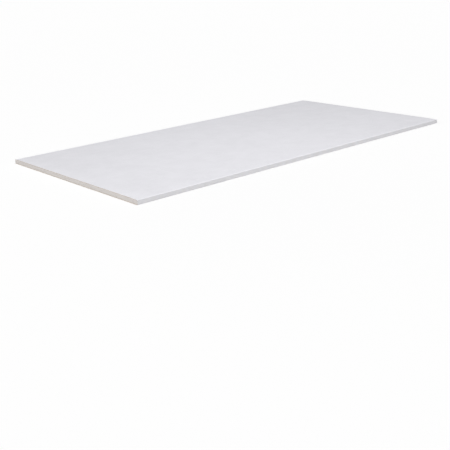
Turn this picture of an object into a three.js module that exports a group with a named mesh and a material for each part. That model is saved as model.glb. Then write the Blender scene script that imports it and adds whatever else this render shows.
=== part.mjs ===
// A drywall sheet: one gypsum board, paper-wrapped along its long edges and cut square at its ends,
// lying flat on its back with the finished face up.
//
// Millimetres, +Z up. The length runs along X and the width along Y. The origin is under the middle
// of the sheet, on the plane that its back rests on.

import * as THREE from 'three';

// Driving dimensions.
const SHEET_LENGTH = 2400;
const SHEET_WIDTH = 1200;
const SHEET_THICKNESS = 25;

// The face side falls towards each long edge, to leave room for joint compound.
const TAPER_WIDTH = 60;
const TAPER_DEPTH = 1.8;
const TAPER_EASE_WIDTH = 16; // the round where the flat face turns into the taper

// The wrapped paper rounds the long edges.
const FACE_ARRIS_RADIUS = 2;
const BACK_ARRIS_RADIUS = 1.5;

// Straight steps in the round at the top of the taper. Each arris has twice as many.
const ROUND_STEPS = 6;

const PAPER_WHITE = 0xe4e4e8;

// One half of the cross-section, from the flat back, out round the long edge and in to the flat
// face. In the section, x is the distance from the middle of the sheet and y is the height.
function longEdgeOutline() {
  const edge = SHEET_WIDTH / 2;
  const taperStart = edge - TAPER_WIDTH;
  const fall = TAPER_DEPTH / TAPER_WIDTH;
  const taperHeight = (x) => SHEET_THICKNESS - fall * (x - taperStart);

  // The face round touches both the sloping taper and the upright edge.
  const slopeLength = Math.hypot(1, fall);
  const faceRoundX = edge - FACE_ARRIS_RADIUS;
  const faceRoundY = taperHeight(faceRoundX) - FACE_ARRIS_RADIUS * slopeLength;
  const taperAngle = Math.atan2(1, fall);

  const easeEnd = taperStart + TAPER_EASE_WIDTH / 2;
  const outline = new THREE.Path();
  outline.absarc(edge - BACK_ARRIS_RADIUS, BACK_ARRIS_RADIUS, BACK_ARRIS_RADIUS, -Math.PI / 2, 0);
  outline.absarc(faceRoundX, faceRoundY, FACE_ARRIS_RADIUS, 0, taperAngle);
  outline.lineTo(easeEnd, taperHeight(easeEnd));
  outline.quadraticCurveTo(
    taperStart,
    SHEET_THICKNESS,
    taperStart - TAPER_EASE_WIDTH / 2,
    SHEET_THICKNESS,
  );
  return outline.getPoints(ROUND_STEPS);
}

// The whole cross-section: the half outline and its mirror image about the middle of the sheet.
function sheetSection() {
  const right = longEdgeOutline();
  const left = right.map((point) => new THREE.Vector2(-point.x, point.y)).reverse();
  return new THREE.Shape([...right, ...left]);
}

// The section carried straight from one cut end to the other.
function drywallSheet() {
  const geometry = new THREE.ExtrudeGeometry(sheetSection(), {
    depth: SHEET_LENGTH,
    bevelEnabled: false,
  });
  const material = new THREE.MeshStandardMaterial({
    color: PAPER_WHITE,
    roughness: 0.85,
    metalness: 0,
  });
  const sheet = new THREE.Mesh(geometry, material);
  sheet.name = 'drywall_sheet';

  // Stands the section upright across the sheet, so that the extrusion runs along X.
  const acrossWidth = new THREE.Vector3(0, 1, 0);
  const up = new THREE.Vector3(0, 0, 1);
  const alongLength = new THREE.Vector3(1, 0, 0);
  const upright = new THREE.Matrix4().makeBasis(acrossWidth, up, alongLength);
  sheet.quaternion.setFromRotationMatrix(upright);
  sheet.position.x = -SHEET_LENGTH / 2;
  return sheet;
}

const part = new THREE.Group();
part.add(drywallSheet());

export default part;
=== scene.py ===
import math

import bmesh
import bpy
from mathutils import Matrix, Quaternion, Vector, noise


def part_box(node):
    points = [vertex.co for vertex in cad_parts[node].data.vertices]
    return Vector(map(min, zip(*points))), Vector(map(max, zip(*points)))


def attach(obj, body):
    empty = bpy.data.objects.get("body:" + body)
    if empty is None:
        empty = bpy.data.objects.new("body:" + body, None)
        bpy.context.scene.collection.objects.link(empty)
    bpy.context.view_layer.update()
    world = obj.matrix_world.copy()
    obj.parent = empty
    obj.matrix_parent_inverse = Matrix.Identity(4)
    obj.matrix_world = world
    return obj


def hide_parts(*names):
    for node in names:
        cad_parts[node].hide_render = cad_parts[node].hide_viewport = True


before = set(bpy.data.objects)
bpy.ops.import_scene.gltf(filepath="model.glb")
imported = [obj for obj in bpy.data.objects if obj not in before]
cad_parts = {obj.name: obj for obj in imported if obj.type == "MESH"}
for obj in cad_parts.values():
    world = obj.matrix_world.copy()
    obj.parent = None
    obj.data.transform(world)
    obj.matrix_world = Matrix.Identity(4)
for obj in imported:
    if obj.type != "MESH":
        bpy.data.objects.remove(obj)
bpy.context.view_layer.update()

bl_info = {
    "name": "Drywall Sheet",
    "version": (1, 0, 0),
    "blender": (4, 5, 0),
    "location": "3D View > Sidebar > Drywall",
    "description": "Papers, gypsum core and studio for a tapered-edge drywall sheet",
    "category": "Object",
}

MILLIMETRE = 0.001
ALONG = Vector((1, 0, 0))
ACROSS = Vector((0, 1, 0))
UP = Vector((0, 0, 1))

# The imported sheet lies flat, face up: its length along X, its width along Y, its back at height 0.
SHEET_NODE = "drywall_sheet"
SHEET_BODY = "root"
HALF_LENGTH, HALF_WIDTH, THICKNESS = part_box(SHEET_NODE)[1]

MERGE_DISTANCE = 0.001 * MILLIMETRE
FLAT_ANGLE = math.radians(0.08)  # faces that turn less than this are one flat face
SMOOTH_ANGLE = math.radians(30)  # an edge that turns more than this stays crisp
FACING = 0.7  # a face looks along a direction if more of its normal than this lies that way


# ---------------------------------------------------------------------------
# Sizes and colours that a user would change
# ---------------------------------------------------------------------------


def size_property(name, description, millimetres):
    """A length, held in metres and given here in millimetres."""
    return bpy.props.FloatProperty(
        name=name,
        description=description,
        default=millimetres * MILLIMETRE,
        min=0.0,
        unit="LENGTH",
        precision=5,
    )


def colour_property(name, description, colour):
    return bpy.props.FloatVectorProperty(
        name=name,
        description=description,
        default=colour,
        size=3,
        min=0.0,
        max=1.0,
        subtype="COLOR",
    )


def share_property(name, description, share):
    return bpy.props.FloatProperty(
        name=name, description=description, default=share, min=0.0, max=1.0, subtype="FACTOR"
    )


class PaperSettings(bpy.types.PropertyGroup):
    ply: size_property("Paper thickness", "Thickness of the face paper and of the back liner", 0.5)
    bare_flap: size_property("Bare flap", "Width of face paper left showing on the back", 14)
    flap: size_property("Flap", "How far the face paper is folded under the back", 35)
    lap_ramp: size_property("Lap ramp", "Width over which the flap dips under the back liner", 1.5)
    fray: size_property("Fray", "How far a paper's cut end wanders back from the saw line", 0.25)
    face: colour_property("Face", "Colour of the face paper", (0.785, 0.781, 0.818))
    liner: colour_property("Liner", "Colour of the back liner", (0.45, 0.412, 0.36))
    plies: colour_property("Plies", "Colour of the papers where the saw cut them", (0.50, 0.39, 0.27))


class CoreSettings(bpy.types.PropertyGroup):
    recess: size_property("Recess", "How far the sawn core lies behind the papers' cut ends", 0.25)
    saw_depth: size_property("Saw marks", "Depth of the scores and chips that the saw leaves", 0.35)
    column: size_property("Column", "Spacing of the mesh across the sheet", 3)
    row: size_property("Row", "Spacing of the mesh through the sheet's thickness", 0.8)
    gypsum: colour_property("Gypsum", "Colour of the sawn gypsum", (0.755, 0.718, 0.705))
    bonded: colour_property("Bonded", "Colour of the core close to the papers", (0.66, 0.55, 0.44))


class StudioSettings(bpy.types.PropertyGroup):
    floor: colour_property(
        "Floor", "Colour of the floor, as it lights the sheet", (0.90, 0.895, 0.86)
    )
    background: share_property(
        "Background", "How white the floor and the room look away from the sheet", 0.988
    )
    daylight: share_property("Daylight", "Strength of the soft light from all round", 0.608)
    sidelight: share_property(
        "Sidelight", "How much of the daylight comes from the left rather than the right", 0.5
    )
    softbox_power: bpy.props.FloatProperty(
        name="Softbox power",
        description="Power of the softbox over the sheet",
        default=61.2,
        min=0.0,
        unit="POWER",
    )
    softbox_side: size_property("Softbox side", "Side of the square softbox", 2000)
    lens: bpy.props.FloatProperty(
        name="Lens",
        description="Focal length of the camera",
        default=62.9,
        min=1.0,
        unit="CAMERA",
    )


SETTINGS = {
    "drywall_papers": PaperSettings,
    "drywall_core": CoreSettings,
    "drywall_studio": StudioSettings,
}


# ---------------------------------------------------------------------------
# Shader maths
# ---------------------------------------------------------------------------


class Value:
    """What a node gives out. Python's operators join numbers through Math nodes."""

    def __init__(self, finish, socket):
        self.finish = finish
        self.socket = socket

    def output(self, name):
        """Another output of the same node."""
        return Value(self.finish, self.socket.node.outputs[name])

    def __add__(self, other):
        return self.finish.math("ADD", self, other)

    def __radd__(self, other):
        return self.finish.math("ADD", other, self)

    def __sub__(self, other):
        return self.finish.math("SUBTRACT", self, other)

    def __rsub__(self, other):
        return self.finish.math("SUBTRACT", other, self)

    def __mul__(self, other):
        return self.finish.math("MULTIPLY", self, other)

    def __rmul__(self, other):
        return self.finish.math("MULTIPLY", other, self)

    def __truediv__(self, other):
        return self.finish.math("DIVIDE", self, other)

    def __rtruediv__(self, other):
        return self.finish.math("DIVIDE", other, self)

    def __abs__(self):
        return self.finish.math("ABSOLUTE", self)


class Finish:
    """A node tree and the ways that its nodes are added."""

    # A Mix node's sockets, by number, where it mixes colours.
    MIX_AMOUNT, MIX_START, MIX_END, MIX_RESULT = 0, 6, 7, 2

    # Flecks, in the cells of their lattice.
    SWIRLS = 2.5  # in each cell, of the noise that tears their outlines
    SLIMMEST = 0.4  # of the girth of the largest
    DARK_MIDDLE = 0.25  # of their radius
    CHANCE_BLUR = 0.02  # softens the choice of the cells that hold one

    def __init__(self, owner):
        owner.use_nodes = True
        self.owner = owner
        self.tree = owner.node_tree
        self.tree.nodes.clear()

    def node(self, kind, settings=None, sockets=None):
        """Adds a node with its settings, then sets or links its sockets. Returns its first output."""
        added = self.tree.nodes.new(kind)
        for name, setting in (settings or {}).items():
            setattr(added, name, setting)
        for name, value in (sockets or {}).items():
            if isinstance(value, Value):
                self.tree.links.new(value.socket, added.inputs[name])
            else:
                added.inputs[name].default_value = value
        return Value(self, added.outputs[0]) if added.outputs else None

    def math(self, operation, *numbers):
        return self.node("ShaderNodeMath", {"operation": operation}, dict(enumerate(numbers)))

    def vector(self, operation, *vectors):
        return self.node("ShaderNodeVectorMath", {"operation": operation}, dict(enumerate(vectors)))

    def place(self):
        """The point on the piece, in metres."""
        return self.node("ShaderNodeTexCoord").output("Object")

    def stretched(self, per_metre):
        """The point on the piece, counted in repeats along X, Y and Z."""
        return self.vector("MULTIPLY", self.place(), per_metre)

    def axes(self, vector):
        """The three numbers of a vector."""
        parts = self.node("ShaderNodeSeparateXYZ", sockets={0: vector})
        return [parts.output(axis) for axis in "XYZ"]

    def rise(self, value, low, high):
        """0 up to low, 1 from high, and a smooth rise between them."""
        return self.node(
            "ShaderNodeMapRange",
            {"interpolation_type": "SMOOTHSTEP"},
            {"Value": value, "From Min": low, "From Max": high},
        )

    def fall(self, value, low, high):
        """1 up to low, 0 from high, and a smooth fall between them."""
        return 1 - self.rise(value, low, high)

    def grain(self, per_metre, detail, roughness=0.5):
        """Noise about 0, from about -1 to 1. per_metre gives its repeats along X, Y and Z."""
        sockets = {
            "Vector": self.stretched(per_metre),
            "Scale": 1.0,
            "Detail": detail,
            "Roughness": roughness,
        }
        return (self.node("ShaderNodeTexNoise", sockets=sockets) - 0.5) * 2.0

    def flecks(self, per_metre, size, share, torn):
        """1 in the middle of small flecks of uneven size and shape, and 0 outside them.

        A share of a lattice's cells hold one each. per_metre gives the cells along X, Y and Z, size is
        the radius of the largest fleck in cells, and torn is how uneven their outlines are.
        """
        cells = self.stretched(per_metre)
        swirl = self.node(
            "ShaderNodeTexNoise", sockets={"Vector": cells, "Scale": self.SWIRLS, "Detail": 2.0}
        )
        pushed = self.vector("MULTIPLY_ADD", swirl.output("Color"), [torn] * 3, cells)
        distance = self.node("ShaderNodeTexVoronoi", sockets={"Vector": pushed, "Scale": 1.0})
        chance, girth, _ = self.axes(distance.output("Color"))
        radius = size * (self.SLIMMEST + (1 - self.SLIMMEST) * girth)
        chosen = self.fall(chance, share, share + self.CHANCE_BLUR)
        return self.fall(distance / radius, self.DARK_MIDDLE, 1.0) * chosen

    def tint(self, colour, brightness):
        """The colour times a number."""
        return self.node(
            "ShaderNodeVectorMath", {"operation": "SCALE"}, {0: colour, "Scale": brightness}
        )

    def blend(self, amount, start, end):
        """The start colour turned into the end colour by amount."""
        sockets = {self.MIX_AMOUNT: amount, self.MIX_START: start, self.MIX_END: end}
        return self.node("ShaderNodeMix", {"data_type": "RGBA"}, sockets).output(self.MIX_RESULT)

    def relief(self, height):
        """The normal of a surface that stands this many metres proud."""
        return self.node("ShaderNodeBump", sockets={"Height": height, "Distance": 1.0, "Strength": 1.0})

    def matte(self, colour, roughness, normal, specular):
        """Ends the material in a matte surface."""
        surface = self.node(
            "ShaderNodeBsdfPrincipled",
            sockets={
                "Base Color": colour,
                "Roughness": roughness,
                "Normal": normal,
                "Specular IOR Level": specular,
            },
        )
        self.node("ShaderNodeOutputMaterial", sockets={"Surface": surface})
        return self.owner


def opaque(colour):
    """A colour as a shader socket takes it."""
    return (*colour, 1.0)


# ---------------------------------------------------------------------------
# Finishes
# ---------------------------------------------------------------------------

# Distances from a long edge, from the left end and down from the face over which the painted highlight
# fades.
EDGE_HIGHLIGHT = (6 * MILLIMETRE, 16 * MILLIMETRE)
END_HIGHLIGHT = (20 * MILLIMETRE, 90 * MILLIMETRE)
ARRIS_HIGHLIGHT = (2 * MILLIMETRE, 3.2 * MILLIMETRE)
END_HIGHLIGHT_SHARE = 0.35  # of the edges' painted highlight

BOND_DEPTH = (0.4 * MILLIMETRE, 4 * MILLIMETRE)  # the core's brown tint fades between these


def painted_highlight(finish):
    """1 where a highlight is painted into the face's colour, along the long edges and less by the left
    end, and 0 elsewhere.
    """
    along, across, height = finish.axes(finish.place())
    by_edge = finish.fall(HALF_WIDTH - abs(across), *EDGE_HIGHLIGHT)
    by_end = finish.fall(HALF_LENGTH + along, *END_HIGHLIGHT)
    on_face = finish.fall(THICKNESS - height, *ARRIS_HIGHLIGHT)
    return finish.math("MAXIMUM", by_edge, END_HIGHLIGHT_SHARE * by_end) * on_face


def paper_finish(name, colour, cloudy, fleck_share, fleck_depth):
    """Board paper: cloudy fibre, faint streaks along the machine's direction, and stray dark flecks."""
    streaky, fibrous = 0.1, 1.2  # beside the clouds
    highlight_strength = 0.09
    fibre_height, wave_height = 0.06 * MILLIMETRE, 0.15 * MILLIMETRE
    finish = Finish(bpy.data.materials.new(name))
    clouds = finish.grain(per_metre=(9, 10, 10), detail=5.0, roughness=0.8)
    streaks = finish.grain(per_metre=(1.2, 90, 90), detail=2.0)
    fibre = finish.grain(per_metre=(600, 1300, 1300), detail=3.0, roughness=0.65)
    waves = finish.grain(per_metre=(6, 9, 9), detail=1.0)
    flecks = finish.flecks(per_metre=(260, 420, 420), size=0.20, share=fleck_share, torn=0.8)
    brightness = 1 + cloudy * (clouds + streaky * streaks + fibrous * fibre)
    # Painted highlight: the face's colour is made brighter along the long edges and, less, by the left
    # end.
    brightness = brightness * (1 - fleck_depth * flecks) * (1 + highlight_strength * painted_highlight(finish))
    return finish.matte(
        finish.tint(colour, brightness),
        roughness=0.78 + 0.06 * fibre,
        normal=finish.relief(fibre_height * fibre + wave_height * waves),
        specular=0.25,
    )


def plies_finish(name, colour):
    """The inside of a paper: short torn fibre of brown recycled plies."""
    uneven, fibre_height = 0.22, 0.05 * MILLIMETRE
    finish = Finish(bpy.data.materials.new(name))
    fibre = finish.grain(per_metre=(900, 500, 2500), detail=4.0, roughness=0.7)
    return finish.matte(
        finish.tint(colour, 1 + uneven * fibre),
        roughness=0.9,
        normal=finish.relief(fibre_height * fibre),
        specular=0.15,
    )


def gypsum_finish(name, core):
    """Sawn gypsum: long scores from the saw, fine crystal grain and small air bubbles."""
    banded, scored, sparkling = 0.09, 0.09, 0.08
    bubble_shade, pinhole_shade = 0.30, 0.16
    score_height, crystal_height = 0.06 * MILLIMETRE, 0.07 * MILLIMETRE
    bubble_depth, pinhole_depth = 0.25 * MILLIMETRE, 0.10 * MILLIMETRE
    bond_wander, bond_strength = 0.8 * MILLIMETRE, 0.6
    finish = Finish(bpy.data.materials.new(name))
    bands = finish.grain(per_metre=(30, 5, 230), detail=2.0)
    scores = finish.grain(per_metre=(60, 14, 1300), detail=2.0)
    crystals = finish.grain(per_metre=(1500, 1500, 1500), detail=3.0, roughness=0.7)
    bubbles = finish.flecks(per_metre=(260, 260, 260), size=0.22, share=0.4, torn=0.5)
    pinholes = finish.flecks(per_metre=(800, 800, 800), size=0.38, share=0.75, torn=0.6)
    brightness = 1 + banded * bands + scored * scores + sparkling * crystals
    # Painted shade darkens the inside of the bubbles and pinholes.
    brightness = brightness * (1 - bubble_shade * bubbles) * (1 - pinhole_shade * pinholes)
    height = finish.axes(finish.place())[2]
    from_paper = finish.math("MINIMUM", height, THICKNESS - height) + bond_wander * scores
    bonded = finish.fall(from_paper, *BOND_DEPTH)
    colour = finish.blend(bonded * bond_strength, opaque(core.gypsum), opaque(core.bonded))
    sawn = score_height * scores + crystal_height * crystals
    pitted = bubble_depth * bubbles + pinhole_depth * pinholes
    return finish.matte(
        finish.tint(colour, brightness),
        roughness=0.92,
        normal=finish.relief(sawn - pitted),
        specular=0.2,
    )


# ---------------------------------------------------------------------------
# Modelling helpers
# ---------------------------------------------------------------------------


def cut_square(face):
    """Whether a face looks along the sheet, as those of its cut ends do."""
    return abs(face.normal.x) > FACING


def looks_down(face):
    return face.normal.z < -FACING


def off_middle(face):
    """How far a face lies from the sheet's middle line."""
    return abs(face.calc_center_median().y)


def sheet_shell():
    """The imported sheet's surface between its cut ends, its loose triangles joined into whole faces."""
    bm = bmesh.new()
    bm.from_mesh(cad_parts[SHEET_NODE].data)
    bmesh.ops.remove_doubles(bm, verts=bm.verts, dist=MERGE_DISTANCE)
    bmesh.ops.dissolve_limit(bm, angle_limit=FLAT_ANGLE, verts=bm.verts, edges=bm.edges)
    bmesh.ops.delete(bm, geom=[face for face in bm.faces if cut_square(face)], context="FACES")
    return bm


def slice_at(bm, direction, places):
    """Cuts every face at these places along a direction."""
    for place in places:
        bmesh.ops.bisect_plane(
            bm,
            geom=bm.verts[:] + bm.edges[:] + bm.faces[:],
            dist=MERGE_DISTANCE,
            plane_co=direction * place,
            plane_no=direction,
        )


def both_sides(places):
    return [sign * place for place in places for sign in (-1, 1)]


def spaced(low, high, spacing):
    """Evenly spaced places strictly between low and high, at most this far apart."""
    count = math.ceil((high - low) / spacing)
    return [low + (high - low) * i / count for i in range(1, count)]


def end_points(bm):
    """The points of the two cut ends."""
    return [vert for vert in bm.verts if abs(vert.co.x) > HALF_LENGTH - MERGE_DISTANCE]


def lap_places(papers):
    """Distances from the middle at which the lap on the back turns, from the edge inwards.

    The flap dips from the first to the second, where the liner starts, and ends at the third. The
    core's step over it ends at the fourth.
    """
    outer = HALF_WIDTH - papers.bare_flap
    inner = HALF_WIDTH - papers.flap
    return outer, outer - papers.lap_ramp, inner, inner - papers.lap_ramp


def piece_from(bm, name, materials):
    """Ends a bmesh as an object that rides with the sheet, its place in its mesh."""
    mesh = bpy.data.meshes.new(name)
    bm.to_mesh(mesh)
    bm.free()
    mesh.shade_smooth()
    mesh.set_sharp_from_angle(angle=SMOOTH_ANGLE)
    for material in materials:
        mesh.materials.append(material)
    piece = bpy.data.objects.new(name, mesh)
    bpy.context.scene.collection.objects.link(piece)
    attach(piece, SHEET_BODY)
    return piece


# ---------------------------------------------------------------------------
# Layouts of the pictures that are baked onto the pieces
# ---------------------------------------------------------------------------

BAKE_MAP = "OFBake"  # the name of the UV map that the baking follows
PICTURE_MARGIN = 0.01
ROW_FILL = 0.9  # of a row's height, to keep it clear of the next

# The core's picture: each sawn end in long rows, and above them a thin row for each papered side.
ENDS_SHARE = 0.9
ROWS_PER_END = 4
ROW_LENGTH = 2 * HALF_WIDTH / ROWS_PER_END
END_ROW = ENDS_SHARE / (2 * ROWS_PER_END)
PAPERED_SIDES = (UP, -UP, -ACROSS, ACROSS)
SIDE_ROW = (1 - ENDS_SHARE) / len(PAPERED_SIDES)

# A paper's picture: its outside, and above it a band for its glued side and one for each cut end.
OUTSIDE_SHARE = 0.85
BAND = (1 - OUTSIDE_SHARE) / 3
BAND_GAP = 0.25  # of a band, at its top and at its bottom


def inset(share):
    """A share of a picture's width, kept clear of its border."""
    return PICTURE_MARGIN + (1 - 2 * PICTURE_MARGIN) * share


def between(distance, reach):
    """A distance from the middle as a share of the way from -reach to reach."""
    return (distance / reach + 1) / 2


def lay_out_sawn(face, layer):
    """Lays out a face of a sawn end."""
    middle = face.calc_center_median()
    row = int((middle.y + HALF_WIDTH) / ROW_LENGTH)
    low = END_ROW * (row + ROWS_PER_END * (middle.x > 0))
    for loop in face.loops:
        place = loop.vert.co
        across = (place.y + HALF_WIDTH) / ROW_LENGTH - row
        loop[layer].uv = (inset(across), low + ROW_FILL * END_ROW * place.z / THICKNESS)


def lay_out_papered(face, layer):
    """Lays out a face of the core that a paper covers."""
    turned = [face.normal.dot(side) for side in PAPERED_SIDES]
    side = turned.index(max(turned))
    low = ENDS_SHARE + SIDE_ROW * side
    for loop in face.loops:
        place = loop.vert.co
        rise = place.z / THICKNESS if PAPERED_SIDES[side].y else between(place.y, HALF_WIDTH)
        loop[layer].uv = (inset(between(place.x, HALF_LENGTH)), low + ROW_FILL * SIDE_ROW * rise)


def lay_out_core(bm):
    """Lays out the whole core, before the saw's marks are in it."""
    layer = bm.loops.layers.uv.new(BAKE_MAP)
    for face in bm.faces:
        if cut_square(face):
            lay_out_sawn(face, layer)
        else:
            lay_out_papered(face, layer)


def lay_out_paper(bm, unrolled):
    """Lays out a paper. unrolled gives a point's distance from the paper's middle, along the paper."""
    layer = bm.loops.layers.uv.new(BAKE_MAP)
    reach = max(unrolled(vert.co) for vert in bm.verts)
    skin = {vert for face in bm.faces if face.material_index == OUTSIDE for vert in face.verts}
    for face in bm.faces:
        low, tall = 0.0, OUTSIDE_SHARE
        if face.material_index == PLIES:
            number = 1 + (face.normal.x > 0) if cut_square(face) else 0
            low = OUTSIDE_SHARE + BAND * (number + BAND_GAP)
            tall = BAND * (1 - 2 * BAND_GAP)
        for loop in face.loops:
            along = inset(between(loop.vert.co.x, HALF_LENGTH))
            across = inset(between(unrolled(loop.vert.co), reach))
            if cut_square(face):
                loop[layer].uv = (across, low + tall * (loop.vert in skin))
            else:
                loop[layer].uv = (along, low + tall * across)


# ---------------------------------------------------------------------------
# Gypsum core
# ---------------------------------------------------------------------------

# Noise that the saw's marks follow: its place at each end, then its repeats per metre across and up.
SAW_SCORES = Vector((5, 9, 420))
SAW_CHIPS = Vector((7, 130, 260))

# How much of the saw marks' depth is scored and how much is chipped.
SCORED_SHARE = 0.6
CHIPPED_SHARE = 0.7


class DRYWALL_OT_gypsum_core(bpy.types.Operator):
    """Adds the gypsum core, with its sawn ends"""

    bl_idname = "drywall.gypsum_core"
    bl_label = "Gypsum Core"
    bl_options = {"REGISTER", "UNDO"}

    def execute(self, context):
        core = context.scene.drywall_core
        papers = context.scene.drywall_papers
        bm = sheet_shell()
        self.shrink(bm, papers.ply)
        self.step_under_flaps(bm, papers)
        self.close_ends(bm, core)
        lay_out_core(bm)
        self.saw_ends(bm, core)
        piece = piece_from(bm, "gypsum_core", [gypsum_finish("sawn_gypsum", core)])
        return {"FINISHED"}

    def shrink(self, bm, ply):
        """Moves the surface in by the thickness of the paper over it."""
        bm.normal_update()
        moves = [(vert, vert.normal * (vert.calc_shell_factor() * ply)) for vert in bm.verts]
        for vert, move in moves:
            vert.co -= move

    def step_under_flaps(self, bm, papers):
        """Raises the back where two papers lie over it."""
        outer, covered, inner, middle = lap_places(papers)
        slice_at(bm, ACROSS, both_sides((outer, covered, inner, middle)))
        for vert in bm.verts:
            under_lap = inner - MERGE_DISTANCE < abs(vert.co.y) < covered + MERGE_DISTANCE
            if under_lap and vert.co.z < THICKNESS / 2:
                vert.co.z += papers.ply

    def close_ends(self, bm, core):
        """Closes both ends and slices the sheet into the columns and rows that the saw marks need."""
        boundary = [edge for edge in bm.edges if edge.is_boundary]
        bmesh.ops.holes_fill(bm, edges=boundary, sides=0)
        slice_at(bm, UP, spaced(0, THICKNESS, core.row))
        slice_at(bm, ACROSS, spaced(-HALF_WIDTH, HALF_WIDTH, core.column))
        bm.normal_update()

    def saw_ends(self, bm, core):
        """Sets the ends back from the papers, and scores and chips them along the saw's way."""
        for vert in end_points(bm):
            side = math.copysign(1, vert.co.x)
            spot = Vector((side, vert.co.y, vert.co.z))
            score = 0.5 + 0.5 * noise.noise(spot * SAW_SCORES)
            chip = max(noise.noise(spot * SAW_CHIPS), 0)
            marks = core.saw_depth * (SCORED_SHARE * score + CHIPPED_SHARE * chip)
            vert.co.x -= side * (core.recess + marks)


# ---------------------------------------------------------------------------
# Papers
# ---------------------------------------------------------------------------

OUTSIDE, PLIES = 0, 1  # a paper's materials, by number
FRAY_GRAIN = Vector((10, 160, 400))  # repeats per metre of the noise that a frayed end follows
FRAY_SPACING = 4 * MILLIMETRE  # between the points of a frayed end
FRAY_REACH = 2 * MILLIMETRE  # the fray pulls the paper this far back from its cut end


def faces_out(face):
    """Whether a paper's face looks away from the core."""
    middle = face.calc_center_median()
    outwards = Vector((0, middle.y / HALF_WIDTH, middle.z / THICKNESS - 0.5))
    return face.normal.dot(outwards) > 0


def mark_plies(bm):
    """Picks out a paper's brown plies, which show where the saw cut it and on its glued side."""
    bm.normal_update()
    for face in bm.faces:
        face.material_index = PLIES if cut_square(face) or not faces_out(face) else OUTSIDE


def fray_ends(bm, fray):
    """Lets a paper's cut ends wander back from the saw line, as torn fibre does."""
    for vert in end_points(bm):
        back = fray * abs(noise.noise(vert.co * FRAY_GRAIN))
        vert.co.x -= math.copysign(back, vert.co.x)


def make_paper(bm, papers, half_width, unrolled):
    """Turns a paper's outer surface into the paper, with its plies, its layout and its frayed ends."""
    bm.normal_update()
    bmesh.ops.solidify(bm, geom=bm.faces[:], thickness=papers.ply)
    slice_at(bm, ACROSS, spaced(-half_width, half_width, FRAY_SPACING))
    slice_at(bm, ALONG, both_sides([HALF_LENGTH - FRAY_REACH]))
    mark_plies(bm)
    lay_out_paper(bm, unrolled)
    fray_ends(bm, papers.fray)


def along_face_paper(place):
    """A point's distance from the middle of the face, along the paper round a long edge to the back."""
    across = abs(place.y)
    if place.z < THICKNESS / 2:
        across = 2 * HALF_WIDTH - across
    return math.copysign(across + THICKNESS - place.z, place.y)


def along_back_liner(place):
    """A point's distance from the middle of the back, along the liner and up its side."""
    return place.y + math.copysign(place.z, place.y)


class DRYWALL_OT_face_paper(bpy.types.Operator):
    """Adds the face paper, which wraps the long edges and is folded under the back"""

    bl_idname = "drywall.face_paper"
    bl_label = "Face Paper"
    bl_options = {"REGISTER", "UNDO"}

    def execute(self, context):
        papers = context.scene.drywall_papers
        bm = sheet_shell()
        self.open_back(bm, papers)
        make_paper(bm, papers, HALF_WIDTH, along_face_paper)
        outside = paper_finish(
            "face_paper_outside", papers.face, cloudy=0.08, fleck_share=0.02, fleck_depth=0.12
        )
        plies = plies_finish("face_paper_plies", papers.plies)
        piece = piece_from(bm, "face_paper", [outside, plies])
        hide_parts(SHEET_NODE)
        return {"FINISHED"}

    def open_back(self, bm, papers):
        """Takes away the back between the flaps, and dips the flaps under the liner."""
        outer, covered, inner, _ = lap_places(papers)
        slice_at(bm, ACROSS, both_sides((outer, covered, inner)))
        between_flaps = [face for face in bm.faces if looks_down(face) and off_middle(face) < inner]
        bmesh.ops.delete(bm, geom=between_flaps, context="FACES")
        for vert in bm.verts:
            if abs(vert.co.y) < covered + MERGE_DISTANCE and vert.co.z < MERGE_DISTANCE:
                vert.co.z += papers.ply


class DRYWALL_OT_back_liner(bpy.types.Operator):
    """Adds the back liner, which is laid over the face paper's flaps"""

    bl_idname = "drywall.back_liner"
    bl_label = "Back Liner"
    bl_options = {"REGISTER", "UNDO"}

    def execute(self, context):
        papers = context.scene.drywall_papers
        half_width = lap_places(papers)[1]
        bm = sheet_shell()
        self.keep_back(bm, half_width)
        make_paper(bm, papers, half_width, along_back_liner)
        outside = paper_finish(
            "back_liner_outside", papers.liner, cloudy=0.25, fleck_share=0.35, fleck_depth=0.25
        )
        plies = plies_finish("back_liner_plies", papers.plies)
        piece = piece_from(bm, "back_liner", [outside, plies])
        return {"FINISHED"}

    def keep_back(self, bm, half_width):
        """Takes away all but the back, within this distance of its middle."""
        slice_at(bm, ACROSS, both_sides([half_width]))
        rest = [face for face in bm.faces if not looks_down(face) or off_middle(face) > half_width]
        bmesh.ops.delete(bm, geom=rest, context="FACES")


# ---------------------------------------------------------------------------
# Stage
# ---------------------------------------------------------------------------

CAMERA_PLACE = Vector((-3.185, -3.510, 1.076))
CAMERA_HEADING = math.radians(49.13)  # from the sheet's length towards its width
CAMERA_PITCH = math.radians(18.78)  # down from level
CAMERA_ROLL = math.radians(-2.21)
SOFTBOX_PLACE = Vector((-0.61, -1.26, 3.67))
SOFTBOX_FALLOFF = 3.89  # height at which a small lamp would light the floor as the softbox does
SOFTBOX_SPREAD = 1.03  # and how much stronger that lamp would be
FLOOR_SIDE = 120.0


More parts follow.
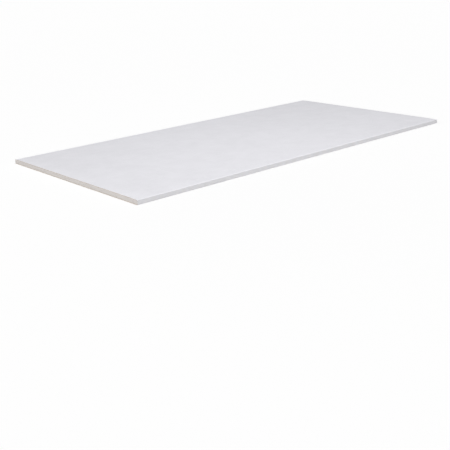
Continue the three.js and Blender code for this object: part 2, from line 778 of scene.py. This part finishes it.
class DRYWALL_OT_studio(bpy.types.Operator):
    """Adds the pale floor, the soft light and the camera"""

    bl_idname = "drywall.studio"
    bl_label = "Studio"
    bl_options = {"REGISTER", "UNDO"}

    def execute(self, context):
        studio = context.scene.drywall_studio
        self.add_floor(studio)
        self.light_room(studio)
        self.add_softbox(studio)
        self.add_camera(studio)
        context.scene.view_settings.view_transform = "Standard"
        return {"FINISHED"}

    def link(self, name, data):
        added = bpy.data.objects.new(name, data)
        bpy.context.scene.collection.objects.link(added)
        return added

    def add_floor(self, studio):
        bm = bmesh.new()
        bmesh.ops.create_grid(bm, x_segments=1, y_segments=1, size=FLOOR_SIDE / 2)
        mesh = bpy.data.meshes.new("floor")
        bm.to_mesh(mesh)
        bm.free()
        mesh.materials.append(self.floor_finish(studio))
        self.link("floor", mesh)

    def seen(self, finish):
        """1 for what is seen straight, in a mirror or through glass, and 0 for what lights the sheet."""
        rays = finish.node("ShaderNodeLightPath")
        straight = rays.output("Is Camera Ray")
        mirrored = rays.output("Is Glossy Ray")
        through = rays.output("Is Transmission Ray")
        return finish.math("MAXIMUM", straight, finish.math("MAXIMUM", mirrored, through))

    def floor_finish(self, studio):
        """A pale floor that keeps the sheet's shadow and looks evenly white away from it.

        The light that the bare floor gives back is worked out at each point, and what it lacks to the
        background's white is added for the rays that see the floor.
        """
        finish = Finish(bpy.data.materials.new("studio_floor"))
        x, y, _ = finish.axes(finish.place())
        right, back = x - SOFTBOX_PLACE.x, y - SOFTBOX_PLACE.y
        widening = 1 + (right * right + back * back) / SOFTBOX_FALLOFF**2
        straight_below = SOFTBOX_SPREAD * studio.softbox_power / (math.pi * SOFTBOX_FALLOFF) ** 2
        brightness = studio.daylight + straight_below / (widening * widening)
        lit = finish.tint(studio.floor, brightness)
        missing = finish.vector("SUBTRACT", [studio.background] * 3, lit)
        matte = finish.node("ShaderNodeBsdfDiffuse", sockets={"Color": opaque(studio.floor)})
        light = finish.node(
            "ShaderNodeEmission", sockets={"Color": missing, "Strength": self.seen(finish)}
        )
        both = finish.node("ShaderNodeAddShader", sockets={0: matte, 1: light})
        finish.node("ShaderNodeOutputMaterial", sockets={"Surface": both})
        return finish.owner

    def light_room(self, studio):
        """Soft light from all round, a little stronger from the left. The room itself looks white."""
        world = bpy.data.worlds.new("daylight")
        finish = Finish(world)
        direction = finish.node("ShaderNodeTexCoord").output("Generated")
        rightwards = finish.axes(direction)[0]
        seen = self.seen(finish)
        light = studio.daylight * (1 - studio.sidelight * rightwards)
        strength = seen * studio.background + (1 - seen) * light
        sky = finish.node(
            "ShaderNodeBackground", sockets={"Color": opaque((1, 1, 1)), "Strength": strength}
        )
        finish.node("ShaderNodeOutputWorld", sockets={"Surface": sky})
        bpy.context.scene.world = world

    def add_softbox(self, studio):
        light = bpy.data.lights.new("softbox", "AREA")
        light.energy = studio.softbox_power
        light.size = studio.softbox_side
        self.link("softbox", light).location = SOFTBOX_PLACE

    def add_camera(self, studio):
        data = bpy.data.cameras.new("camera")
        data.lens = studio.lens
        camera = self.link("camera", data)
        level = math.cos(CAMERA_PITCH)
        forward = Vector((
            math.cos(CAMERA_HEADING) * level,
            math.sin(CAMERA_HEADING) * level,
            -math.sin(CAMERA_PITCH),
        ))
        camera.location = CAMERA_PLACE
        camera.rotation_mode = "QUATERNION"
        aim = forward.to_track_quat("-Z", "Y")
        camera.rotation_quaternion = aim @ Quaternion(UP, CAMERA_ROLL)
        bpy.context.scene.camera = camera


# ---------------------------------------------------------------------------
# Sidebar and registration
# ---------------------------------------------------------------------------

PIECES = (DRYWALL_OT_gypsum_core, DRYWALL_OT_face_paper, DRYWALL_OT_back_liner)


class DRYWALL_PT_sidebar(bpy.types.Panel):
    """Lists the settings, and the buttons that add the stage and the pieces"""

    bl_label = "Drywall Sheet"
    bl_idname = "DRYWALL_PT_sidebar"
    bl_space_type = "VIEW_3D"
    bl_region_type = "UI"
    bl_category = "Drywall"

    def draw(self, context):
        for name, group in SETTINGS.items():
            box = self.layout.box()
            for setting in group.__annotations__:
                box.prop(getattr(context.scene, name), setting)
        for operator in (DRYWALL_OT_studio, *PIECES):
            self.layout.operator(operator.bl_idname)


CLASSES = (*SETTINGS.values(), DRYWALL_OT_studio, *PIECES, DRYWALL_PT_sidebar)


def register():
    for cls in CLASSES:
        bpy.utils.register_class(cls)
    for name, group in SETTINGS.items():
        setattr(bpy.types.Scene, name, bpy.props.PointerProperty(type=group))


def unregister():
    for name in SETTINGS:
        delattr(bpy.types.Scene, name)
    for cls in reversed(CLASSES):
        bpy.utils.unregister_class(cls)


def main():
    register()
    bpy.ops.drywall.studio()
    bpy.ops.drywall.gypsum_core()
    bpy.ops.drywall.face_paper()
    bpy.ops.drywall.back_liner()


if __name__ == "__main__":
    main()
